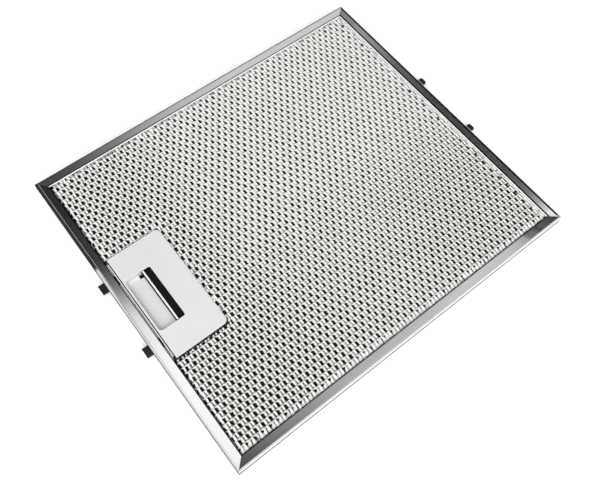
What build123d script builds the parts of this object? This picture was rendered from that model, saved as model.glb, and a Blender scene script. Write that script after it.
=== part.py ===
"""Cooker hood grease filter: a folded metal frame holding layers of expanded
aluminium mesh, with a sprung latch and finger recess on one long-side edge and
two fixed tabs on the opposite edge.

Millimetres, +Z up.  The filter lies flat, its finger recess facing up.  The
origin is the centre of the underside.  -X is the latch side, +X the tab side.
"""
import os
from build123d import *

os.makedirs("parts", exist_ok=True)

# ---------------------------------------------------------------- dimensions
W = 305.5            # frame length, X
D = 267.5            # frame width, Y
H = 9.0              # frame thickness, Z
SHEET = 0.5          # frame strip thickness
RAIL = 8.3           # width of the rail seen from above
ROLL = 1.0           # outside bend radius of the strip, at the back
ROLL_TOP = 1.6       # outside bend radius of the strip, at the front
LAND = 1.8           # where the flat land ends and the flange starts to slope
DROP = 1.5           # how far the flange slopes in towards the mesh
MITRE = 0.25         # open mitre line at the corners

MESH_X = 150.5       # half length of a mesh layer
MESH_Y = 132.0       # half width of a mesh layer
LAYER = 1.15         # overall thickness of one raised layer
LAYER_Z = {"rear_mesh": 2.06, "inner_mesh_2": 3.29, "inner_mesh_1": 4.52, "front_mesh": 5.75}
SWD = 6.31           # true pitch of the openings across the strands
LWD = 8.85           # true pitch of the openings along the strands
OPEN_X = 2.2         # half opening across, at true pitch
OPEN_Y = 3.6         # half opening along, at true pitch
COARSE = {"front_mesh": 2.0, "inner_mesh_1": 3.0, "inner_mesh_2": 3.0, "rear_mesh": 3.0}

PLATE_X0, PLATE_X1 = -141.9, -98.0   # handle plate
PLATE_Y = 46.0
PLATE_R = 4.0                        # its rounded corners
PLATE_Z0, PLATE_Z1 = 7.0, 8.0
BACK_Z0, BACK_Z1 = 1.0, 1.95         # back cover of the handle
SKIRT_X0, SKIRT_X1, SKIRT_Y = -141.8, -102.0, 43.2
LIP_X0, LIP_X1 = -143.4, -142.6      # lip along the rail, beside the plate
LIP_Z, GROOVE_Z = 6.3, 3.0
WALL = 1.2
CUT_X, CUT_Y = -101.5, 43.7          # opening in the mesh for the handle

WIN_X0, WIN_X1, WIN_Y = -140.3, -119.5, 23.5   # window in the plate
TUB_X1 = -126.9                      # end of the finger recess floor
TUB_Z = 3.0                          # floor of the finger recess
TUB_WALL = 1.0
POSTS = [(-137.6, 38.0), (-137.6, -38.0), (-107.0, 38.0), (-107.0, -38.0)]
POST_R = 2.0

BLADE_X0, BLADE_X1 = -126.2, -125.0  # finger blade of the latch
BLADE_Y, BLADE_Z = 22.9, 7.75
ARM_Y, ARM_W = 29.3, 8.0             # latch arms and tongues
ARM_Z0, ARM_Z1 = 3.6, 5.0
TONGUE = 6.5                         # how far tongues and tabs stand out
TRAVEL = 5.0                         # how far the latch slides
CLEAR = 0.3

SPRING_R, WIRE_R, SPRING_PITCH = 1.85, 0.25, 2.2
PIN_R, PIN_L = 1.3, 5.0

TAB_Y, TAB_W = 29.4, 6.4             # fixed tabs
TAB_Z0, TAB_Z1 = 3.7, 4.9
BRACKET_T, BRACKET_Y = 1.0, 36.0

# ------------------------------------------------------------------- frame
# one folded strip: outer wall, and two flanges that slope in to grip the mesh
SLOPE_OFF = SHEET * ((DROP**2 + (RAIL - LAND)**2) ** 0.5) / (RAIL - LAND)
INNER_LAND = LAND - (SLOPE_OFF - SHEET) * (RAIL - LAND) / DROP
with BuildPart() as frame:
    with BuildLine() as rim:
        Polyline((0, -D / 2, 0), (W / 2, -D / 2, 0), (W / 2, D / 2, 0),
                 (-W / 2, D / 2, 0), (-W / 2, -D / 2, 0), (0, -D / 2, 0))
    with BuildSketch(Plane(origin=(0, -D / 2, 0), x_dir=(0, 1, 0), z_dir=(1, 0, 0))) as section:
        with BuildLine():
            Polyline((RAIL, H - DROP), (LAND, H), (ROLL_TOP, H))
            RadiusArc((ROLL_TOP, H), (0, H - ROLL_TOP), -ROLL_TOP)
            Line((0, H - ROLL_TOP), (0, ROLL))
            RadiusArc((0, ROLL), (ROLL, 0), -ROLL)
            Polyline((ROLL, 0), (LAND, 0), (RAIL, DROP), (RAIL, DROP + SLOPE_OFF),
                     (INNER_LAND, SHEET), (ROLL, SHEET))
            RadiusArc((ROLL, SHEET), (SHEET, ROLL), ROLL - SHEET)
            Line((SHEET, ROLL), (SHEET, H - ROLL_TOP))
            RadiusArc((SHEET, H - ROLL_TOP), (ROLL_TOP, H - SHEET), ROLL_TOP - SHEET)
            Polyline((ROLL_TOP, H - SHEET), (INNER_LAND, H - SHEET),
                     (RAIL, H - DROP - SLOPE_OFF), (RAIL, H - DROP))
        make_face()
    sweep(sections=section.sketch, path=rim.line, transition=Transition.RIGHT)
    # open mitres in both flanges at each corner
    for sx in (-1, 1):
        for sy in (-1, 1):
            mid = (0.95 + RAIL + 0.3) / 2
            for zc in (H - 1.0, 1.0):
                with Locations(Location((sx * (W / 2 - mid), sy * (D / 2 - mid), zc), (0, 0, 45 * sx * sy))):
                    Box((RAIL + 0.3 - 0.95) * 1.41421, MITRE, 2.6, mode=Mode.SUBTRACT)
    # the two ends of the strip meet at one corner
    with Locations(Location((W / 2 - 0.5, D / 2 - 0.5, H / 2), (0, 0, 45))):
        Box(3.0, MITRE, H + 2, mode=Mode.SUBTRACT)
    # slots for the sliding tongues and for the fixed tabs
    with Locations((-W / 2, ARM_Y, (ARM_Z0 + ARM_Z1) / 2), (-W / 2, -ARM_Y, (ARM_Z0 + ARM_Z1) / 2)):
        Box(4.0, ARM_W + 2 * CLEAR, ARM_Z1 - ARM_Z0 + 2 * CLEAR, mode=Mode.SUBTRACT)
    with Locations((W / 2, TAB_Y, (TAB_Z0 + TAB_Z1) / 2), (W / 2, -TAB_Y, (TAB_Z0 + TAB_Z1) / 2)):
        Box(4.0, TAB_W + 2 * CLEAR, TAB_Z1 - TAB_Z0 + 2 * CLEAR, mode=Mode.SUBTRACT)
frame.part.label = "frame"
export_step(frame.part, "parts/frame.step")


# -------------------------------------------------------------- mesh layers
def openings(scale, shift):
    """Centres of the whole openings that fit on a layer."""
    px, py, a, b, edge = SWD * scale, LWD * scale, OPEN_X * scale, OPEN_Y * scale, 0.7
    nx, ny = int(MESH_X / px * 2) + 2, int(MESH_Y / py * 2) + 2
    out = []
    for j in range(-ny, ny + 1):
        for i in range(-nx, nx + 1):
            if (i + j) % 2:
                continue
            x, y = i * px / 2 + shift[0], j * py / 2 + shift[1]
            if abs(x) + a > MESH_X - edge or abs(y) + b > MESH_Y - edge:
                continue
            if x - a < CUT_X + edge and abs(y) - b < CUT_Y + edge:
                continue
            out.append((x, y))
    return out


def layer_face(scale, shift):
    """A sheet with a notch for the handle and diamond openings."""
    a, b = OPEN_X * scale, OPEN_Y * scale
    rim_wire = Wire.make_polygon(
        [(MESH_X, -MESH_Y), (MESH_X, MESH_Y), (-MESH_X, MESH_Y), (-MESH_X, CUT_Y),
         (CUT_X, CUT_Y), (CUT_X, -CUT_Y), (-MESH_X, -CUT_Y), (-MESH_X, -MESH_Y)], close=True)
    holes = [Wire.make_polygon([(x + a, y), (x, y + b), (x - a, y), (x, y - b)], close=True)
             for x, y in openings(scale, shift)]
    return Face(rim_wire, holes)


front_face = layer_face(COARSE["front_mesh"], (0.0, 0.0))
with BuildPart() as front_mesh:
    with BuildSketch(Plane.XY.offset(LAYER_Z["front_mesh"])):
        add(front_face)
    extrude(amount=LAYER)
front_mesh.part.label = "front_mesh"
export_step(front_mesh.part, "parts/front_mesh.step")

inner_face_1 = layer_face(COARSE["inner_mesh_1"], (4.7, 0.0))
with BuildPart() as inner_mesh_1:
    with BuildSketch(Plane.XY.offset(LAYER_Z["inner_mesh_1"])):
        add(inner_face_1)
    extrude(amount=LAYER)
inner_mesh_1.part.label = "inner_mesh_1"
export_step(inner_mesh_1.part, "parts/inner_mesh_1.step")

inner_face_2 = layer_face(COARSE["inner_mesh_2"], (0.0, 6.6))
with BuildPart() as inner_mesh_2:
    with BuildSketch(Plane.XY.offset(LAYER_Z["inner_mesh_2"])):
        add(inner_face_2)
    extrude(amount=LAYER)
inner_mesh_2.part.label = "inner_mesh_2"
export_step(inner_mesh_2.part, "parts/inner_mesh_2.step")

rear_face = layer_face(COARSE["rear_mesh"], (0.0, 0.0))
with BuildPart() as rear_mesh:
    with BuildSketch(Plane.XY.offset(LAYER_Z["rear_mesh"])):
        add(rear_face)
    extrude(amount=LAYER)
rear_mesh.part.label = "rear_mesh"
export_step(rear_mesh.part, "parts/rear_mesh.step")

# ------------------------------------------------------------- handle plate
# the hollow of the window and finger recess, with a soft floor
with BuildPart() as recess:
    with BuildSketch(Plane.XY.offset(TUB_Z)) as recess_sk:
        with Locations(((WIN_X0 + WIN_X1) / 2, 0)):
            Rectangle(WIN_X1 - WIN_X0, 2 * WIN_Y)
        fillet(recess_sk.vertices().group_by(Axis.X)[0], 3.0)
    extrude(amount=PLATE_Z1 - TUB_Z + 0.5)
    fillet([e for e in recess.faces().sort_by(Axis.Z)[0].edges() if e.center().X < WIN_X1 - 0.5], 2.6)
    # round ends of the slot behind the blade
    fillet(recess.edges().filter_by(Axis.Z).group_by(Axis.X)[-1], 1.5)

# moulded front of the handle: rim, finger recess, skirt, lip, posts and spring pins
with BuildPart() as handle_plate:
    with BuildSketch(Plane.XY.offset(PLATE_Z0)) as rim_sk:
        with Locations(((PLATE_X0 + PLATE_X1) / 2, 0)):
            Rectangle(PLATE_X1 - PLATE_X0, 2 * PLATE_Y)
        fillet(rim_sk.vertices().group_by(Axis.X)[-1], PLATE_R)
    extrude(amount=PLATE_Z1 - PLATE_Z0)
    fillet(handle_plate.faces().sort_by(Axis.Z)[-1].edges(), 0.4)
    with BuildSketch(Plane.XY.offset(BACK_Z1)):
        with Locations(((SKIRT_X0 + SKIRT_X1) / 2, 0)):
            Rectangle(SKIRT_X1 - SKIRT_X0, 2 * SKIRT_Y)
            Rectangle(SKIRT_X1 - SKIRT_X0 - 2 * WALL, 2 * SKIRT_Y - 2 * WALL, mode=Mode.SUBTRACT)
    extrude(amount=PLATE_Z0 - BACK_Z1)
    # lip and groove along the rail
    with BuildSketch(Plane.XY.offset(BACK_Z1)):
        with Locations(((LIP_X0 + SKIRT_X0) / 2, 0)):
            Rectangle(SKIRT_X0 - LIP_X0, 2 * SKIRT_Y)
    extrude(amount=GROOVE_Z - BACK_Z1)
    with BuildSketch(Plane.XY.offset(GROOVE_Z)):
        with Locations(((LIP_X0 + LIP_X1) / 2, 0)):
            Rectangle(LIP_X1 - LIP_X0, 2 * SKIRT_Y)
    extrude(amount=LIP_Z - GROOVE_Z)
    with BuildSketch(Plane.XY.offset(TUB_Z - 0.8)):
        with Locations(((WIN_X0 - TUB_WALL + TUB_X1) / 2, 0)):
            Rectangle(TUB_X1 - WIN_X0 + TUB_WALL, 2 * (WIN_Y + TUB_WALL))
    extrude(amount=PLATE_Z0 - TUB_Z + 0.8)
    # the window, and below it the finger recess, its far end open towards the blade
    add(recess.part, mode=Mode.SUBTRACT)
    # small corner notch at the end of the recess floor
    with Locations((TUB_X1 - 1.1, WIN_Y - 1.6, TUB_Z + 1.0)):
        Box(3.4, 3.2, 4.4, mode=Mode.SUBTRACT)
    # soft edge around the window
    window_edges = [e for e in handle_plate.edges().filter_by_position(Axis.Z, PLATE_Z1 - 0.01, PLATE_Z1 + 0.01)
                    if WIN_X0 - 0.05 < e.center().X < WIN_X1 + 0.05 and abs(e.center().Y) < WIN_Y + 0.05]
    fillet(window_edges, 0.4)
    # arm slots in the skirt
    with Locations(((LIP_X0 + SKIRT_X0 + WALL) / 2, ARM_Y, (ARM_Z0 + ARM_Z1) / 2),
                   ((LIP_X0 + SKIRT_X0 + WALL) / 2, -ARM_Y, (ARM_Z0 + ARM_Z1) / 2)):
        Box(SKIRT_X0 + WALL - LIP_X0 + 1.0, ARM_W + 2 * CLEAR, ARM_Z1 - ARM_Z0 + 2 * CLEAR, mode=Mode.SUBTRACT)
    # posts, headed over behind the back cover
    for px, py in POSTS:
        with Locations((px, py, (BACK_Z0 + PLATE_Z0) / 2)):
            Cylinder(POST_R, PLATE_Z0 - BACK_Z0)
        with Locations((px, py, BACK_Z0 - 0.3)):
            Cylinder(3.2, 0.6)
    # spring pins
    for sy in (-1, 1):
        with Locations(Location((SKIRT_X1 - WALL - PIN_L / 2, sy * ARM_Y, (ARM_Z0 + ARM_Z1) / 2), (0, 90, 0))):
            Cylinder(PIN_R, PIN_L)
handle_plate.part.label = "handle_plate"
export_step(handle_plate.part, "parts/handle_plate.step")

# -------------------------------------------------------------- back cover
with BuildPart() as handle_back:
    with BuildSketch(Plane.XY.offset(BACK_Z0)) as back_sk:
        with Locations(((LIP_X0 + PLATE_X1) / 2, 0)):
            Rectangle(PLATE_X1 - LIP_X0, 2 * PLATE_Y)
        fillet(back_sk.vertices().group_by(Axis.X)[-1], PLATE_R)
        with Locations(*POSTS):
            Circle(POST_R + 0.05, mode=Mode.SUBTRACT)
    extrude(amount=BACK_Z1 - BACK_Z0)
handle_back.part.label = "handle_back"
export_step(handle_back.part, "parts/handle_back.step")

# ------------------------------------------------------------- latch slide
# finger blade, cross wall, two arms and the tongues at their ends
with BuildPart() as latch_slide:
    with BuildSketch(Plane.YZ.offset(BLADE_X0)):
        with Locations((0, (ARM_Z0 + 6.6) / 2)):
            Rectangle(2 * ARM_Y + ARM_W, 6.6 - ARM_Z0)
        with Locations((0, (ARM_Z0 + BLADE_Z) / 2)):
            Rectangle(2 * BLADE_Y, BLADE_Z - ARM_Z0)
    extrude(amount=BLADE_X1 - BLADE_X0)
    with BuildSketch(Plane.XY.offset(ARM_Z0)):
        with Locations(((-W / 2 - TONGUE + BLADE_X1) / 2, ARM_Y), ((-W / 2 - TONGUE + BLADE_X1) / 2, -ARM_Y)):
            Rectangle(BLADE_X1 + W / 2 + TONGUE, ARM_W)
    extrude(amount=ARM_Z1 - ARM_Z0)
    noses = latch_slide.edges().filter_by(Axis.Y).filter_by_position(Axis.X, -W / 2 - TONGUE - 0.01, -W / 2 - TONGUE + 0.01)
    chamfer(noses.group_by(Axis.Z)[-1], 0.9, 1.6)
latch_slide.part.label = "latch_slide"
export_step(latch_slide.part, "parts/latch_slide.step")

# ----------------------------------------------------------------- springs
SPRING_X0 = BLADE_X1 + WIRE_R
SPRING_X1 = SKIRT_X1 - WALL - WIRE_R
with BuildPart() as spring_1:
    with BuildLine() as coil_1:
        Helix(pitch=SPRING_PITCH, height=SPRING_X1 - SPRING_X0, radius=SPRING_R,
              center=(SPRING_X0, ARM_Y, (ARM_Z0 + ARM_Z1) / 2), direction=(1, 0, 0))
    with BuildSketch(Plane(coil_1.line @ 0, z_dir=coil_1.line % 0)) as wire_1:
        Circle(WIRE_R)
    sweep(sections=wire_1.sketch, path=coil_1.line, is_frenet=True)
spring_1.part.label = "spring_1"
export_step(spring_1.part, "parts/spring_1.step")

with BuildPart() as spring_2:
    with BuildLine() as coil_2:
        Helix(pitch=SPRING_PITCH, height=SPRING_X1 - SPRING_X0, radius=SPRING_R,
              center=(SPRING_X0, -ARM_Y, (ARM_Z0 + ARM_Z1) / 2), direction=(1, 0, 0))
    with BuildSketch(Plane(coil_2.line @ 0, z_dir=coil_2.line % 0)) as wire_2:
        Circle(WIRE_R)
    sweep(sections=wire_2.sketch, path=coil_2.line, is_frenet=True)
spring_2.part.label = "spring_2"
export_step(spring_2.part, "parts/spring_2.step")

# ------------------------------------------------------------ tab bracket
# flat strip inside the frame wall with two tabs bent out through the wall
with BuildPart() as tab_bracket:
    with BuildSketch(Plane.YZ.offset(W / 2 - SHEET - BRACKET_T)):
        with Locations((0, H / 2)):
            Rectangle(2 * BRACKET_Y, 4.4)
    extrude(amount=BRACKET_T)
    with BuildSketch(Plane.XY.offset(TAB_Z0)) as tab_sk:
        with Locations((W / 2 - SHEET - BRACKET_T + (TONGUE + SHEET + BRACKET_T) / 2, TAB_Y),
                       (W / 2 - SHEET - BRACKET_T + (TONGUE + SHEET + BRACKET_T) / 2, -TAB_Y)):
            Rectangle(TONGUE + SHEET + BRACKET_T, TAB_W)
        fillet(tab_sk.vertices().group_by(Axis.X)[-1], 1.6)
    extrude(amount=TAB_Z1 - TAB_Z0)
tab_bracket.part.label = "tab_bracket"
export_step(tab_bracket.part, "parts/tab_bracket.step")
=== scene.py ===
import bpy
import math
import numpy as np
from mathutils import Matrix, Vector


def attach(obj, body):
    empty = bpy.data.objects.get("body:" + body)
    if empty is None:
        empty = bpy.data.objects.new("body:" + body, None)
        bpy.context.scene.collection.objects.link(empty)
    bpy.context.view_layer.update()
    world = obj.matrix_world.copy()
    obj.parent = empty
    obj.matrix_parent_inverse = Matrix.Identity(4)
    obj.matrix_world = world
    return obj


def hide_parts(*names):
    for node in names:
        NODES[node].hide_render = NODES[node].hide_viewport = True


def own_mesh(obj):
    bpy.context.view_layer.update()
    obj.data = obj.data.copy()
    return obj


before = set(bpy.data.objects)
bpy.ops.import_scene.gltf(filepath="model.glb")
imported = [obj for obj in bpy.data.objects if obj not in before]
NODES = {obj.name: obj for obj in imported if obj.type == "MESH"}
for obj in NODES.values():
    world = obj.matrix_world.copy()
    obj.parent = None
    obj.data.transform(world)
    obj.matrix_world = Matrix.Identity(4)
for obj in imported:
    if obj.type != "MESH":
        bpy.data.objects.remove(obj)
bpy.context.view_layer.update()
scene = bpy.context.scene

# ------------------------------------------------------------------ sizes, mm
RAIL_X, RAIL_Y = 152.75 - 8.3, 133.75 - 8.3     # inner edge of the rails
MESH_X, MESH_Y = 150.3, 131.8                   # edge of the mesh layers
CUT_X, CUT_Y = -101.3, 43.8                     # opening for the handle
PLATE_X, PLATE_Y = -98.0, 46.0                  # edge of the handle plate
HALF = 6.31 / 2                                 # half the short pitch
LWD = 8.85                                      # long pitch


# ------------------------------------------------------------ material helpers
def new_mat(name):
    m = bpy.data.materials.new(name)
    m.use_nodes = True
    nt = m.node_tree
    nt.nodes.clear()
    out = nt.nodes.new("ShaderNodeOutputMaterial")
    b = nt.nodes.new("ShaderNodeBsdfPrincipled")
    nt.links.new(b.outputs["BSDF"], out.inputs["Surface"])
    return m, nt, b


def coords(nt, scale=(1, 1, 1), rot=(0, 0, 0)):
    tc = nt.nodes.new("ShaderNodeTexCoord")
    mp = nt.nodes.new("ShaderNodeMapping")
    mp.inputs["Scale"].default_value = scale
    mp.inputs["Rotation"].default_value = rot
    nt.links.new(tc.outputs["Object"], mp.inputs["Vector"])
    return mp.outputs["Vector"]


def noise(nt, vec, scale, detail=4.0, rough=0.55):
    n = nt.nodes.new("ShaderNodeTexNoise")
    n.inputs["Scale"].default_value = scale
    n.inputs["Detail"].default_value = detail
    n.inputs["Roughness"].default_value = rough
    nt.links.new(vec, n.inputs["Vector"])
    return n.outputs["Fac"]


def ramp(nt, fac, stops, interp="LINEAR"):
    r = nt.nodes.new("ShaderNodeValToRGB")
    r.color_ramp.interpolation = interp
    els = r.color_ramp.elements
    while len(els) > 1:
        els.remove(els[-1])
    els[0].position, els[0].color = stops[0][0], (*stops[0][1], 1)
    for p, c in stops[1:]:
        e = els.new(p)
        e.color = (*c, 1)
    nt.links.new(fac, r.inputs["Fac"])
    return r.outputs["Color"]


def grey(v):
    return (v, v, v)


def bump(nt, bsdf, height, strength, dist):
    b = nt.nodes.new("ShaderNodeBump")
    b.inputs["Strength"].default_value = strength
    b.inputs["Distance"].default_value = dist
    nt.links.new(height, b.inputs["Height"])
    nt.links.new(b.outputs["Normal"], bsdf.inputs["Normal"])
    return b


def maprange(nt, val, a, b, c, d):
    m = nt.nodes.new("ShaderNodeMapRange")
    m.inputs["From Min"].default_value = a
    m.inputs["From Max"].default_value = b
    m.inputs["To Min"].default_value = c
    m.inputs["To Max"].default_value = d
    nt.links.new(val, m.inputs["Value"])
    return m.outputs["Result"]


def math_node(nt, op, a, b=None, c=None):
    m = nt.nodes.new("ShaderNodeMath")
    m.operation = op
    for i, v in enumerate((a, b, c)):
        if v is None:
            continue
        if isinstance(v, (int, float)):
            m.inputs[i].default_value = v
        else:
            nt.links.new(v, m.inputs[i])
    return m.outputs[0]


def split(nt):
    """The part's own coordinates, in metres."""
    tc = nt.nodes.new("ShaderNodeTexCoord")
    sep = nt.nodes.new("ShaderNodeSeparateXYZ")
    nt.links.new(tc.outputs["Object"], sep.inputs["Vector"])
    return sep.outputs["X"], sep.outputs["Y"], sep.outputs["Z"]


# ------------------------------------------------------------------- materials
def mat_mesh(name, shaded_tone, hi, metallic, rough, gap=False):
    """Rolled foil, with painted shade: the faces that lie flat are painted bright and the leaning faces duller.
    With gap, painted shade also darkens the foil low in the openings and paints it black in the narrow gap along the
    near rails and the handle."""
    m, nt, b = new_mat(name)
    v = coords(nt)
    n1 = noise(nt, v, 900.0, 3.0)
    n2 = noise(nt, v, 190.0, 2.0)
    geo = nt.nodes.new("ShaderNodeNewGeometry")
    sep = nt.nodes.new("ShaderNodeSeparateXYZ")
    nt.links.new(geo.outputs["Normal"], sep.inputs["Vector"])
    # painted shade: brighter where the face points straight up, duller on the leaning faces
    up = maprange(nt, sep.outputs["Z"], 0.92, 0.995, 0.0, 0.7)
    fac = math_node(nt, "MULTIPLY_ADD", n1, 0.3, up)
    fac = math_node(nt, "MULTIPLY_ADD", n2, 0.3, fac)
    if gap:
        # painted shade: the foil is darkened low down in the openings, most towards the near side and the -X end
        x, y, z = split(nt)
        front = math_node(nt, "MULTIPLY", maprange(nt, y, 0.010, -0.080, 0.0, 1.0),
                          maprange(nt, math_node(nt, "ABSOLUTE", x), 0.03, 0.10, 0.5, 1.0))
        reach = math_node(nt, "MAXIMUM", front, maprange(nt, x, -0.030, -0.110, 0.0, 0.9))
        reach = math_node(nt, "MAXIMUM", reach, 0.40)
        painted_depth_shade = math_node(nt, "MULTIPLY", maprange(nt, z, 0.00585, 0.00540, 0.0, 1.1), reach)
        fac = math_node(nt, "SUBTRACT", fac, painted_depth_shade)
        # painted shade: black lines in the gap along the -X rail, fainter along the near rail, and under the near edge
        # of the handle plate
        rail = math_node(nt, "MAXIMUM", maprange(nt, x, -0.1439, -0.1444, 0.0, 1.0),
                         maprange(nt, y, -0.1250, -0.1254, 0.0, 0.35))
        plate = math_node(nt, "MINIMUM", maprange(nt, y, -0.0471, -0.0467, 0.0, 1.0),
                          maprange(nt, y, -0.0400, -0.0410, 0.0, 1.0))
        plate = math_node(nt, "MINIMUM", plate, maprange(nt, x, -0.0985, -0.0990, 0.0, 1.0))
        fac = math_node(nt, "SUBTRACT", fac, math_node(nt, "MULTIPLY", math_node(nt, "MAXIMUM", rail, plate), 1.2))
    col = ramp(nt, fac, [(0.0, grey(0.02)), (0.10, (shaded_tone, shaded_tone * 0.985, shaded_tone * 0.96)),
                         (1.0, (hi, hi * 0.98, hi * 0.95))])
    nt.links.new(col, b.inputs["Base Color"])
    b.inputs["Metallic"].default_value = metallic
    r = maprange(nt, n1, 0.3, 0.7, rough - 0.06, rough + 0.08)
    nt.links.new(r, b.inputs["Roughness"])
    bump(nt, b, n1, 0.12, 0.0001)
    return m


def mat_rail(name):
    """Brushed along each rail. Painted reflection: the faces that run along X are painted duller than those along Y,
    and painted shade makes the fold at the back a little duller too."""
    m, nt, b = new_mat(name)
    x, y, z = split(nt)
    along_x = noise(nt, coords(nt, (12, 1500, 1500)), 1.0, 3.0, 0.6)
    along_y = noise(nt, coords(nt, (1500, 12, 1500)), 1.0, 3.0, 0.6)
    ax, ay = math_node(nt, "ABSOLUTE", x), math_node(nt, "ABSOLUTE", y)
    side = math_node(nt, "GREATER_THAN", math_node(nt, "SUBTRACT", ax, ay), 0.019)
    mx = nt.nodes.new("ShaderNodeMix")
    mx.data_type = "FLOAT"
    nt.links.new(side, mx.inputs["Factor"])
    nt.links.new(along_x, mx.inputs["A"])
    nt.links.new(along_y, mx.inputs["B"])
    lines = mx.outputs["Result"]
    big = noise(nt, coords(nt), 14.0, 3.0)
    # painted reflection: the rails along Y and the outer strip of the X rails are painted brighter; painted shade below
    # 2.6 mm
    bright = math_node(nt, "MAXIMUM", side, maprange(nt, ay, 0.1319, 0.1323, 0.0, 1.0))
    bright = math_node(nt, "MULTIPLY", bright, maprange(nt, z, 0.0014, 0.0026, 0.0, 0.58))
    fac = math_node(nt, "MULTIPLY_ADD", lines, 0.5, bright)
    # painted shade: a black line along the top of the +X rail's roll, ending short of the near corner
    roll = math_node(nt, "MULTIPLY", maprange(nt, x, 0.1502, 0.1505, 0.0, 1.0), maprange(nt, z, 0.0070, 0.0074, 0.0, 1.0))
    roll = math_node(nt, "MULTIPLY", roll, maprange(nt, y, -0.1315, -0.1290, 0.0, 1.0))
    fac = math_node(nt, "SUBTRACT", fac, roll)
    # painted shadow: the outer walls are painted near black and matt, as are the roll of the -X rail, its outer edge
    # towards +Y and the roll of the +X rail, as a dark outline
    wall = math_node(nt, "MAXIMUM", maprange(nt, ax, 0.15245, 0.15265, 0.0, 1.0), maprange(nt, ay, 0.13345, 0.13365, 0.0, 1.0))
    wall = math_node(nt, "MULTIPLY", wall, maprange(nt, z, 0.0074, 0.0064, 0.0, 1.0))
    bend = math_node(nt, "MULTIPLY", maprange(nt, x, -0.15205, -0.15230, 0.0, 1.0), maprange(nt, z, 0.0060, 0.0064, 0.0, 1.0))
    upper = math_node(nt, "MULTIPLY", maprange(nt, x, -0.1500, -0.1504, 0.0, 1.0), maprange(nt, y, 0.012, 0.045, 0.0, 1.0))
    upper = math_node(nt, "MAXIMUM", upper, math_node(nt, "MULTIPLY", maprange(nt, x, 0.1514, 0.1518, 0.0, 1.0), side))
    upper = math_node(nt, "MULTIPLY", upper, maprange(nt, z, 0.0060, 0.0064, 0.0, 1.0))
    wall = math_node(nt, "MAXIMUM", wall, math_node(nt, "MAXIMUM", bend, upper))
    fac = math_node(nt, "MULTIPLY", fac, math_node(nt, "SUBTRACT", 1.0, wall))
    fac = math_node(nt, "MULTIPLY_ADD", math_node(nt, "SUBTRACT", wall, upper), 0.018, fac)

    def by_rail(p, q):
        mi = nt.nodes.new("ShaderNodeMix")
        mi.data_type = "FLOAT"
        nt.links.new(side, mi.inputs["Factor"])
        nt.links.new(p, mi.inputs["A"])
        nt.links.new(q, mi.inputs["B"])
        return mi.outputs["Result"]

    # painted shade: a dark line along the inner edge where the rail meets the mesh, set further out on the two far
    # rails
    e = by_rail(ay, math_node(nt, "SUBTRACT", ax, 0.019))
    far = by_rail(maprange(nt, y, 0.0, 0.001, 0.0, 1.0), maprange(nt, x, 0.0, 0.001, 0.0, 1.0))
    cut = math_node(nt, "MULTIPLY_ADD", far, -0.0008, e)
    cut = math_node(nt, "MULTIPLY_ADD", math_node(nt, "MULTIPLY", far, side), -0.0006, cut)
    fac = math_node(nt, "SUBTRACT", fac, maprange(nt, cut, 0.1262, 0.1259, 0.0, 1.0))
    # painted highlight: a light grey matt band inside that line on the far rails stands in for the foil's bright crest
    painted_crest_highlight = math_node(nt, "MULTIPLY", far, maprange(nt, e, 0.1263, 0.1261, 0.0, 1.0))
    painted_crest_highlight = math_node(nt, "MULTIPLY", painted_crest_highlight, maprange(nt, z, 0.0060, 0.0065, 0.0, 1.0))
    fac = math_node(nt, "MULTIPLY", fac, math_node(nt, "SUBTRACT", 1.0, painted_crest_highlight))
    fac = math_node(nt, "MULTIPLY_ADD", painted_crest_highlight, 0.52, fac)
    matt = math_node(nt, "MAXIMUM", painted_crest_highlight, wall)
    col = ramp(nt, fac, [(0.0, grey(0.025)), (0.10, grey(0.53)), (0.40, grey(0.63)), (0.70, grey(0.90)), (1.0, grey(0.98))])
    nt.links.new(col, b.inputs["Base Color"])
    nt.links.new(maprange(nt, matt, 0.0, 1.0, 1.0, 0.0), b.inputs["Metallic"])
    b.inputs["Specular IOR Level"].default_value = 0.0
    r = maprange(nt, big, 0.3, 0.7, 0.10, 0.17)
    nt.links.new(r, b.inputs["Roughness"])
    bump(nt, b, lines, 0.03, 0.0001)
    return m


def mat_plate(name, lo, hi, rough, spec, painted_gap_shade=False):
    m, nt, b = new_mat(name)
    v = coords(nt)
    n1 = noise(nt, v, 2500.0, 2.0)
    n2 = noise(nt, v, 35.0, 3.0)
    fac = n2
    if painted_gap_shade:
        x, y, z = split(nt)
        # painted shade: the plate is darkened low down at its left end, in the gap beside the rail
        painted_depth_shade = math_node(nt, "MULTIPLY", maprange(nt, x, -0.14165, -0.14185, 0.0, 1.0),
                         maprange(nt, z, 0.0061, 0.0057, 0.0, 1.0))
        fac = math_node(nt, "SUBTRACT", n2, painted_depth_shade)
    col = ramp(nt, fac, [(0.0, grey(0.012)), (0.2, (lo, lo, lo * 0.99)), (0.7, (hi, hi, hi * 0.99))])
    nt.links.new(col, b.inputs["Base Color"])
    r = maprange(nt, n1, 0.3, 0.7, rough - 0.05, rough + 0.07)
    nt.links.new(r, b.inputs["Roughness"])
    b.inputs["Specular IOR Level"].default_value = spec
    bump(nt, b, n1, 0.08, 0.00005)
    return m


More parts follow.
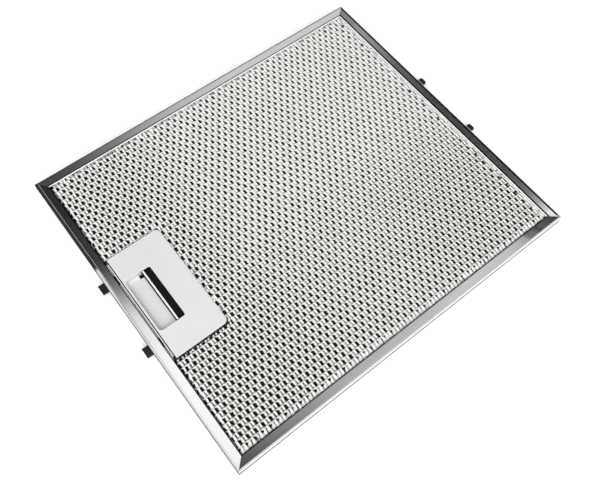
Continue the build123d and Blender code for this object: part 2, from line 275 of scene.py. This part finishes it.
def mat_latch(name):
    """Black finish, rubbed bright on the tongue noses and the blade's top edge."""
    m, nt, b = new_mat(name)
    geo = nt.nodes.new("ShaderNodeTexCoord")
    sep = nt.nodes.new("ShaderNodeSeparateXYZ")
    nt.links.new(geo.outputs["Object"], sep.inputs["Vector"])
    wob = noise(nt, coords(nt), 900.0, 3.0)
    w2 = nt.nodes.new("ShaderNodeMath")
    w2.operation = "MULTIPLY_ADD"
    nt.links.new(wob, w2.inputs[0])
    w2.inputs[1].default_value = 0.0004
    nt.links.new(sep.outputs["X"], w2.inputs[2])
    nose = maprange(nt, w2.outputs[0], -0.15735, -0.15755, 0.0, 1.0)
    w3 = nt.nodes.new("ShaderNodeMath")
    w3.operation = "MULTIPLY_ADD"
    nt.links.new(wob, w3.inputs[0])
    w3.inputs[1].default_value = 0.0003
    nt.links.new(sep.outputs["Z"], w3.inputs[2])
    edge = maprange(nt, w3.outputs[0], 0.0072, 0.0074, 0.0, 1.0)
    mx = nt.nodes.new("ShaderNodeMath")
    mx.operation = "MAXIMUM"
    nt.links.new(nose, mx.inputs[0])
    nt.links.new(edge, mx.inputs[1])
    col = ramp(nt, mx.outputs[0], [(0.0, grey(0.012)), (1.0, (0.93, 0.91, 0.87))])
    nt.links.new(col, b.inputs["Base Color"])
    met = maprange(nt, mx.outputs[0], 0.0, 1.0, 0.2, 0.35)
    nt.links.new(met, b.inputs["Metallic"])
    r = maprange(nt, wob, 0.3, 0.7, 0.28, 0.42)
    nt.links.new(r, b.inputs["Roughness"])
    bump(nt, b, wob, 0.1, 0.00005)
    return m


def mat_tabs(name):
    m, nt, b = new_mat(name)
    geo = nt.nodes.new("ShaderNodeTexCoord")
    sep = nt.nodes.new("ShaderNodeSeparateXYZ")
    nt.links.new(geo.outputs["Object"], sep.inputs["Vector"])
    wob = noise(nt, coords(nt), 700.0, 3.0)
    w2 = nt.nodes.new("ShaderNodeMath")
    w2.operation = "MULTIPLY_ADD"
    nt.links.new(wob, w2.inputs[0])
    w2.inputs[1].default_value = 0.0008
    nt.links.new(sep.outputs["X"], w2.inputs[2])
    end = maprange(nt, w2.outputs[0], 0.1556, 0.1561, 0.0, 1.0)
    col = ramp(nt, end, [(0.0, grey(0.62)), (1.0, grey(0.02))])
    nt.links.new(col, b.inputs["Base Color"])
    b.inputs["Metallic"].default_value = 0.6
    r = maprange(nt, wob, 0.3, 0.7, 0.3, 0.45)
    nt.links.new(r, b.inputs["Roughness"])
    return m


def mat_wire(name):
    m, nt, b = new_mat(name)
    n1 = noise(nt, coords(nt), 1200.0, 3.0)
    col = ramp(nt, n1, [(0.3, grey(0.42)), (0.7, grey(0.60))])
    nt.links.new(col, b.inputs["Base Color"])
    b.inputs["Metallic"].default_value = 1.0
    r = maprange(nt, n1, 0.3, 0.7, 0.25, 0.4)
    nt.links.new(r, b.inputs["Roughness"])
    return m


M_FRONT = mat_mesh("mesh_front", 0.60, 0.98, 0.15, 0.36, True)
# painted shade: the two inner layers are coloured near black so that the openings show dark
M_INNER = mat_mesh("mesh_inner_painted_shade", 0.010, 0.020, 0.2, 0.6)
M_REAR = mat_mesh("mesh_rear", 0.45, 0.90, 0.20, 0.36)
M_RAIL = mat_rail("rail_metal")
M_PLATE = mat_plate("handle_grey_plastic", 0.535, 0.580, 0.42, 0.35, True)
M_BACK = mat_plate("handle_black_plastic", 0.008, 0.014, 0.55, 0.10)
M_LATCH = mat_latch("latch_black_steel")
M_TABS = mat_tabs("tab_steel")
M_WIRE = mat_wire("spring_wire")


def paint(obj, mat):
    obj.data.materials.clear()
    obj.data.materials.append(mat)


for nm, mt in (("frame", M_RAIL), ("handle_plate", M_PLATE), ("handle_back", M_BACK),
               ("latch_slide", M_LATCH), ("spring_1", M_WIRE), ("spring_2", M_WIRE),
               ("tab_bracket", M_TABS)):
    paint(NODES[nm], mt)


# ------------------------------------------------------- expanded mesh layers
def smooth(t):
    t = np.clip(t, 0.0, 1.0)
    return t * t * (3 - 2 * t)


def expanded(name, mat, z_mid, tilt_deg, flat, sheet, fine, shift, seed, dip=1.0, crimp=0.5):
    """One layer of raised expanded foil: bands of sheet, slit and stretched. Each
    strand leans like a louvre beside an opening, is joined to its neighbour at the
    bonds between openings, and lies flat where it crosses from one row to the next."""
    rng = np.random.default_rng(seed)
    phi = math.radians(tilt_deg)
    h = HALF
    w = h * math.cos(phi)
    d = h * math.sin(phi)
    r, s = 0.22, 0.48               # half width of the flat crossing, start of the opening
    half = LWD / 2
    # stations along one long pitch: how far the strand is pulled over, and flatness
    if fine:
        uu = np.array([-r, r, s, half - s, half - r, half + r, half + s, LWD - s])
        tt = np.array([0.5, 0.5, 0.0, 0.0, 0.5, 0.5, 1.0, 1.0])
        ff = np.array([1.0, 1.0, 0.0, 0.0, 1.0, 1.0, 0.0, 0.0])
    else:
        uu = np.array([s, half - s, half + s, LWD - s])
        tt = np.array([0.0, 0.0, 1.0, 1.0])
        ff = np.zeros(4)
    n_rep = int(2 * MESH_Y / LWD) + 3
    reps = np.arange(-n_rep // 2 - 1, n_rep // 2 + 2)
    y_all = (reps[:, None] * LWD + uu[None, :]).ravel() + shift[1]
    t_even = np.tile(tt, len(reps))
    t_odd = 1.0 - t_even
    f_all = np.tile(ff, len(reps))
    keep = (y_all > -MESH_Y) & (y_all < MESH_Y)
    y_all, t_even, t_odd, f_all = y_all[keep], t_even[keep], t_odd[keep], f_all[keep]
    k0, k1 = int(-MESH_X / h) - 2, int(MESH_X / h) + 2
    grow = d * d / h / 2 - 0.05     # a flat crossing almost meets the next strand's
    lean = d * flat / w             # rise of a strand per mm across it
    verts, faces = [], []
    count = 0
    for k in range(k0, k1 + 1):
        xk = k * h + shift[0]
        if xk < -MESH_X or xk + h > MESH_X:
            continue
        T_row = t_odd if k % 2 else t_even
        spans = [(0, len(y_all))]
        if xk + h * 0.9 < CUT_X + 0.2:
            spans = [(0, np.searchsorted(y_all, -CUT_Y)), (np.searchsorted(y_all, CUT_Y), len(y_all))]
        wob_z = rng.normal(0, 0.04, len(y_all))
        wob_x = rng.normal(0, 0.07, len(y_all))
        for a, b in spans:
            n = b - a
            if n < 3:
                continue
            yy, TT, FF = y_all[a:b], T_row[a:b], f_all[a:b]
            start = count
            # crushed flat and closed in the last millimetres along the rails
            edge = np.minimum(RAIL_X - abs(xk + h / 2), RAIL_Y - np.abs(yy))
            shut = (1 - smooth((edge - 1.3) / 1.2)) if fine else 0.0 * yy
            TT = TT + (0.5 - TT) * shut
            FF = np.maximum(FF, shut)
            for xi, off in ((0.0, -0.5), (w, -0.5), (w, 0.5), (0.0, 0.5)):
                x = xk + (xi * w + d * d * TT) / h
                z = (xi * d - d * w * TT) / h * flat
                # the narrow slit beside each bond, wider towards the near corners
                if fine:
                    out = 0.75 + 0.40 * smooth((abs(xk) - 20.0) / 80.0)
                    near = np.maximum(out * smooth((30.0 - yy) / 80.0), 0.9 * smooth((-xk - 20.0) / 80.0))
                    open_ = SLIT[1] * (0.3 + 0.7 * near)
                    if xi == 0.0:
                        on, cut, step = TT < 0.25, SLIT[0] + open_, -0.6
                    else:
                        on, cut, step = TT > 0.75, SLIT[0] - open_, 0.4
                    x = x + np.where(on, cut, 0.0)
                    z = z + np.where(on, cut * lean + step * flat, 0.0)
                # the flat crossing
                x = x + FF * (grow if xi else -grow)
                z = z * (1 - 0.75 * FF) + CREST * FF
                # the sheet's thickness, along the strand's own normal
                x = x - off * sheet * d / h * (1 - FF)
                z = z + off * sheet * (w / h * (1 - FF) + FF)
                # pressed down and crushed where the rails and the handle grip the pack
                e = np.minimum(np.minimum(RAIL_X - np.abs(x), RAIL_Y - np.abs(yy)),
                               np.maximum(x - PLATE_X, np.abs(yy) - PLATE_Y))
                g = smooth((e + 0.3) / 2.4)
                c = smooth(e / 6.0)
                zz = z_mid - dip * (1 - g) + z * (crimp + (1 - crimp) * c) + wob_z[a:b] * (1 + 3 * (1 - c))
                xx = x + wob_x[a:b] * (1 + 3 * (1 - c)) * (1 - 0.8 * FF * c)
                verts.append(np.stack([xx, yy, zz], 1))
            idx = np.arange(n - 1)
            for q in range(4):
                t = (q + 1) % 4
                faces.append(np.stack([start + q * n + idx, start + q * n + idx + 1,
                                       start + t * n + idx + 1, start + t * n + idx], 1))
            faces.append(np.array([[start, start + n, start + 2 * n, start + 3 * n],
                                   [start + 4 * n - 1, start + 3 * n - 1, start + 2 * n - 1, start + n - 1]]))
            count += 4 * n
    V = np.concatenate(verts) * 0.001
    F = np.concatenate(faces)
    me = bpy.data.meshes.new(name)
    me.vertices.add(len(V))
    me.vertices.foreach_set("co", V.astype(np.float32).ravel())
    me.loops.add(F.size)
    me.loops.foreach_set("vertex_index", F.astype(np.int32).ravel())
    me.polygons.add(len(F))
    me.polygons.foreach_set("loop_start", np.arange(0, F.size, 4, dtype=np.int32))
    me.polygons.foreach_set("loop_total", np.full(len(F), 4, dtype=np.int32))
    me.update(calc_edges=True)
    me.validate()
    ob = bpy.data.objects.new(name, me)
    scene.collection.objects.link(ob)
    ob.data.materials.append(mat)
    return ob


SLIT = (0.62, 0.36)                 # mm past the bond's middle, and half its width
CREST = 0.60                        # mm that the flat crossings stand above the middle
LAYERS = [
    ("front_mesh_foil", "front_mesh", M_FRONT, 5.95, 32.0, 0.46, 0.36, True, (-1.95, -1.0), 11, 0.7),
    ("inner_mesh_1_foil", "inner_mesh_1", M_INNER, 4.00, 36.0, 0.15, 0.30, False, (0.4, 1.2), 12, 0.2),
    ("inner_mesh_2_foil", "inner_mesh_2", M_INNER, 3.35, 36.0, 0.10, 0.30, False, (0.9, 3.4), 13, 0.0),
    ("rear_mesh_foil", "rear_mesh", M_REAR, 2.55, 36.0, 0.22, 0.36, True, (0.0, 0.0), 14, 0.0),
]
for nm, nd, mt, zm, tilt, flat, sh, fine, shift, seed, dip in LAYERS:
    ob = expanded(nm, mt, zm, tilt, flat, sh, fine, shift, seed, dip)
    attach(ob, "filter_body")
    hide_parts(nd)

# ------------------------------------------------------------- latch springs
def coil(name, y, x0=-124.75, x1=-103.45, z=4.3, radius=1.85, wire=0.25, pitch=2.2, seg=24, ring=8):
    """A compression spring along X, in mm; the real spring shortens as the latch is pulled back, this one keeps its
    length.
    """
    n = int((x1 - x0) / pitch * seg) + 1
    t = np.linspace(0.0, (x1 - x0) / pitch * 2 * math.pi, n)
    centre = np.stack([x0 + (x1 - x0) * np.linspace(0, 1, n), y + radius * np.cos(t), z + radius * np.sin(t)], 1)
    out = np.stack([np.zeros(n), np.cos(t), np.sin(t)], 1)
    side = np.array([[1.0, 0.0, 0.0]]).repeat(n, 0)
    a = np.linspace(0, 2 * math.pi, ring, endpoint=False)
    V = centre[:, None, :] + wire * (np.cos(a)[None, :, None] * out[:, None, :] + np.sin(a)[None, :, None] * side[:, None, :])
    faces = []
    for i in range(n - 1):
        for j in range(ring):
            k = (j + 1) % ring
            faces.append((i * ring + j, i * ring + k, (i + 1) * ring + k, (i + 1) * ring + j))
    faces.append(tuple(range(ring - 1, -1, -1)))
    faces.append(tuple((n - 1) * ring + j for j in range(ring)))
    me = bpy.data.meshes.new(name)
    me.from_pydata([tuple(v) for v in (V.reshape(-1, 3) * 0.001)], [], faces)
    me.polygons.foreach_set("use_smooth", [True] * (len(faces) - 2) + [False] * 2)
    me.update()
    ob = bpy.data.objects.new(name, me)
    scene.collection.objects.link(ob)
    me.materials.append(M_WIRE)
    return ob


for nm, nd, cy_mm in (("spring_1_coil", "spring_1", 29.3), ("spring_2_coil", "spring_2", -29.3)):
    ob = coil(nm, cy_mm)
    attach(ob, "filter_body")
    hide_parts(nd)
    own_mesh(ob)

# ------------------------------------------------------------------ the stage
bm_floor = bpy.data.meshes.new("floor")
bm_floor.from_pydata([(-3, -3, -0.0002), (3, -3, -0.0002), (3, 3, -0.0002), (-3, 3, -0.0002)], [], [(0, 1, 2, 3)])
floor = bpy.data.objects.new("floor", bm_floor)
scene.collection.objects.link(floor)
mf, ntf, bf = new_mat("floor_white")
nf = noise(ntf, coords(ntf), 3.0, 2.0)
nt_col = ramp(ntf, nf, [(0.3, grey(0.71)), (0.7, grey(0.73))])
ntf.links.new(nt_col, bf.inputs["Base Color"])
bf.inputs["Roughness"].default_value = 0.9
bf.inputs["Specular IOR Level"].default_value = 0.0
bf.inputs["Emission Color"].default_value = (1.0, 1.0, 1.0, 1.0)
bf.inputs["Emission Strength"].default_value = 0.2
floor.data.materials.append(mf)

# a plain pale surround, only there to be seen behind the floor
ring = [(2.9 * math.cos(math.radians(a)), 2.9 * math.sin(math.radians(a))) for a in range(0, 360, 5)]
nr = len(ring)
bm_wall = bpy.data.meshes.new("surround")
bm_wall.from_pydata([(u, v, -0.0002) for u, v in ring] + [(u, v, 3.0) for u, v in ring], [],
                    [(i, (i + 1) % nr, nr + (i + 1) % nr, nr + i) for i in range(nr)])
surround = bpy.data.objects.new("surround", bm_wall)
scene.collection.objects.link(surround)
ms, nts, bs = new_mat("surround_white")
ns = ramp(nts, noise(nts, coords(nts), 1.5, 2.0), [(0.3, grey(0.96)), (0.7, grey(1.0))])
nts.links.new(ns, bs.inputs["Emission Color"])
bs.inputs["Base Color"].default_value = (0.0, 0.0, 0.0, 1.0)
bs.inputs["Specular IOR Level"].default_value = 0.0
bs.inputs["Emission Strength"].default_value = 1.0
surround.data.materials.append(ms)
surround.visible_glossy = False
surround.visible_diffuse = False
surround.visible_shadow = False


def area(name, loc, aim, sx, sy, power, glossy=True, spread=180.0):
    l = bpy.data.lights.new(name, "AREA")
    l.shape = "RECTANGLE"
    l.size, l.size_y = sx, sy
    l.energy = power
    l.spread = math.radians(spread)
    o = bpy.data.objects.new(name, l)
    o.location = loc
    o.rotation_euler = (Vector(aim) - Vector(loc)).to_track_quat("-Z", "Y").to_euler()
    o.visible_glossy = glossy
    scene.collection.objects.link(o)
    return o


# wide fills that only light matt surfaces
area("fill_top", (-0.35, -1.2, 1.95), (0, 0, 0), 3.0, 3.0, 75.0, False)
area("fill_left", (-1.6, -0.6, 1.2), (0, 0, 0), 1.5, 1.5, 8.0, False)


def glow_card(name, corners, z):
    me = bpy.data.meshes.new(name)
    (x0, y0), (x1, y1) = corners
    me.from_pydata([(x0, y0, z), (x1, y0, z), (x1, y1, z), (x0, y1, z)], [], [(0, 1, 2, 3)])
    ob = bpy.data.objects.new(name, me)
    scene.collection.objects.link(ob)
    m, nt, b = new_mat(name + "_glow")
    b.inputs["Base Color"].default_value = (0.01, 0.01, 0.01, 1.0)
    b.inputs["Roughness"].default_value = 1.0
    b.inputs["Specular IOR Level"].default_value = 0.0
    b.inputs["Emission Strength"].default_value = 1.0
    me.materials.append(m)
    ob.visible_camera = False
    ob.visible_diffuse = False
    ob.visible_shadow = False
    return nt, b


# a graded softbox overhead that the rails mirror
ntc, bc = glow_card("softbox", ((-0.20, -0.10), (0.62, 0.56)), 0.60)
cx, cy, cz = split(ntc)
across = math_node(ntc, "MULTIPLY_ADD", math_node(ntc, "ABSOLUTE", math_node(ntc, "SUBTRACT", cy, 0.222)), 2.5, cx)
left_edge = ramp(ntc, maprange(ntc, across, -0.12, 0.24, 0.0, 1.0),
                 [(0.0, grey(0.02)), (0.072, grey(0.04)), (0.261, grey(0.11)), (0.442, grey(0.31)),
                  (0.636, grey(0.68)), (0.817, grey(0.89)), (1.0, grey(1.0))])
reach = math_node(ntc, "MULTIPLY_ADD", math_node(ntc, "MAXIMUM", math_node(ntc, "SUBTRACT", cx, 0.19), 0.0), -0.3, cy)
far_edge = ramp(ntc, maprange(ntc, reach, 0.20, 0.40, 0.0, 1.0),
                [(0.0, grey(1.0)), (0.36, grey(0.82)), (0.62, grey(0.16)), (0.80, grey(0.02)), (1.0, grey(0.01))])
glow = math_node(ntc, "MULTIPLY", left_edge, far_edge)
glow = math_node(ntc, "MULTIPLY", glow, maprange(ntc, cx, 0.535, 0.575, 1.0, 0.03))
glow = math_node(ntc, "MULTIPLY", glow, maprange(ntc, cy, -0.095, -0.060, 0.03, 1.0))
patch = math_node(ntc, "MULTIPLY", maprange(ntc, cx, 0.218, 0.232, 0.0, 1.0), maprange(ntc, cy, 0.385, 0.43, 0.0, 0.42))
patch = math_node(ntc, "MULTIPLY", patch, maprange(ntc, cy, 0.49, 0.48, 0.0, 1.0))
glow = math_node(ntc, "MAXIMUM", glow, patch)
ntc.links.new(glow, bc.inputs["Emission Color"])

# a dark graded flag that only the far right rail mirrors
ntg, bgs = glow_card("flag", ((0.148, -0.1175), (0.161, 0.131)), 0.05)
gx, gy, gz = split(ntg)
shade = ramp(ntg, maprange(ntg, gy, -0.1175, 0.131, 0.0, 1.0),
             [(0.0, grey(0.75)), (0.026, grey(0.48)), (0.054, grey(0.29)), (0.082, grey(0.18)), (0.111, grey(0.12)),
              (0.135, grey(0.09)), (0.171, grey(0.072)), (0.199, grey(0.055)), (0.272, grey(0.048)),
              (0.40, grey(0.035)), (0.52, grey(0.035)), (0.65, grey(0.065)), (0.775, grey(0.13)),
              (0.90, grey(0.25)), (1.0, grey(0.33))])
ntg.links.new(shade, bgs.inputs["Emission Color"])

# a white room low down on the camera's side, dark overhead and behind
world = bpy.data.worlds.new("studio")
scene.world = world
world.use_nodes = True
wn = world.node_tree
bg = wn.nodes["Background"]
wtc = wn.nodes.new("ShaderNodeTexCoord")
wsep = wn.nodes.new("ShaderNodeSeparateXYZ")
wn.links.new(wtc.outputs["Generated"], wsep.inputs["Vector"])
away = math_node(wn, "MULTIPLY_ADD", wsep.outputs["Y"], 0.8, math_node(wn, "MULTIPLY", wsep.outputs["X"], 0.6))
low = math_node(wn, "MULTIPLY", maprange(wn, wsep.outputs["Z"], 0.64, 0.50, 0.0, 1.0),
                maprange(wn, away, 0.45, 0.20, 0.0, 1.0))
left = maprange(wn, wsep.outputs["X"], -0.10, -0.24, 0.0, 1.0)
near = maprange(wn, wsep.outputs["Y"], -0.06, -0.20, 0.0, 1.0)
w1 = wn.nodes.new("ShaderNodeMath")
w1.operation = "MAXIMUM"
wn.links.new(low, w1.inputs[0])
wn.links.new(left, w1.inputs[1])
w2 = wn.nodes.new("ShaderNodeMath")
w2.operation = "MAXIMUM"
wn.links.new(w1.outputs[0], w2.inputs[0])
wn.links.new(near, w2.inputs[1])
wcol = ramp(wn, w2.outputs[0], [(0.0, grey(0.03)), (1.0, grey(1.0))])
wn.links.new(wcol, bg.inputs["Color"])
bg.inputs["Strength"].default_value = 0.8

scene.view_settings.view_transform = "Standard"
scene.view_settings.look = "None"
scene.view_settings.exposure = 0.0
scene.view_settings.gamma = 1.0

# ----------------------------------------------------------------- the camera
cam_data = bpy.data.cameras.new("photo_camera")
cam = bpy.data.objects.new("photo_camera", cam_data)
scene.collection.objects.link(cam)
RIGHT = Vector((0.7874251, -0.6157663, 0.0281707))
DOWN = Vector((-0.5462544, -0.7182509, -0.4309545))
FWD = Vector((0.2856009, 0.3239560, -0.9019338))
rot = Matrix((RIGHT, -DOWN, -FWD)).transposed().to_4x4()
cam.matrix_world = Matrix.Translation(Vector((-0.1645371, -0.1916666, 0.4671087))) @ rot
cam_data.sensor_fit = "HORIZONTAL"
cam_data.sensor_width = 36.0
cam_data.lens = 680.92 / 600.0 * 36.0
cam_data.clip_start = 0.01
cam_data.clip_end = 20.0
scene.camera = cam

bpy.context.view_layer.update()
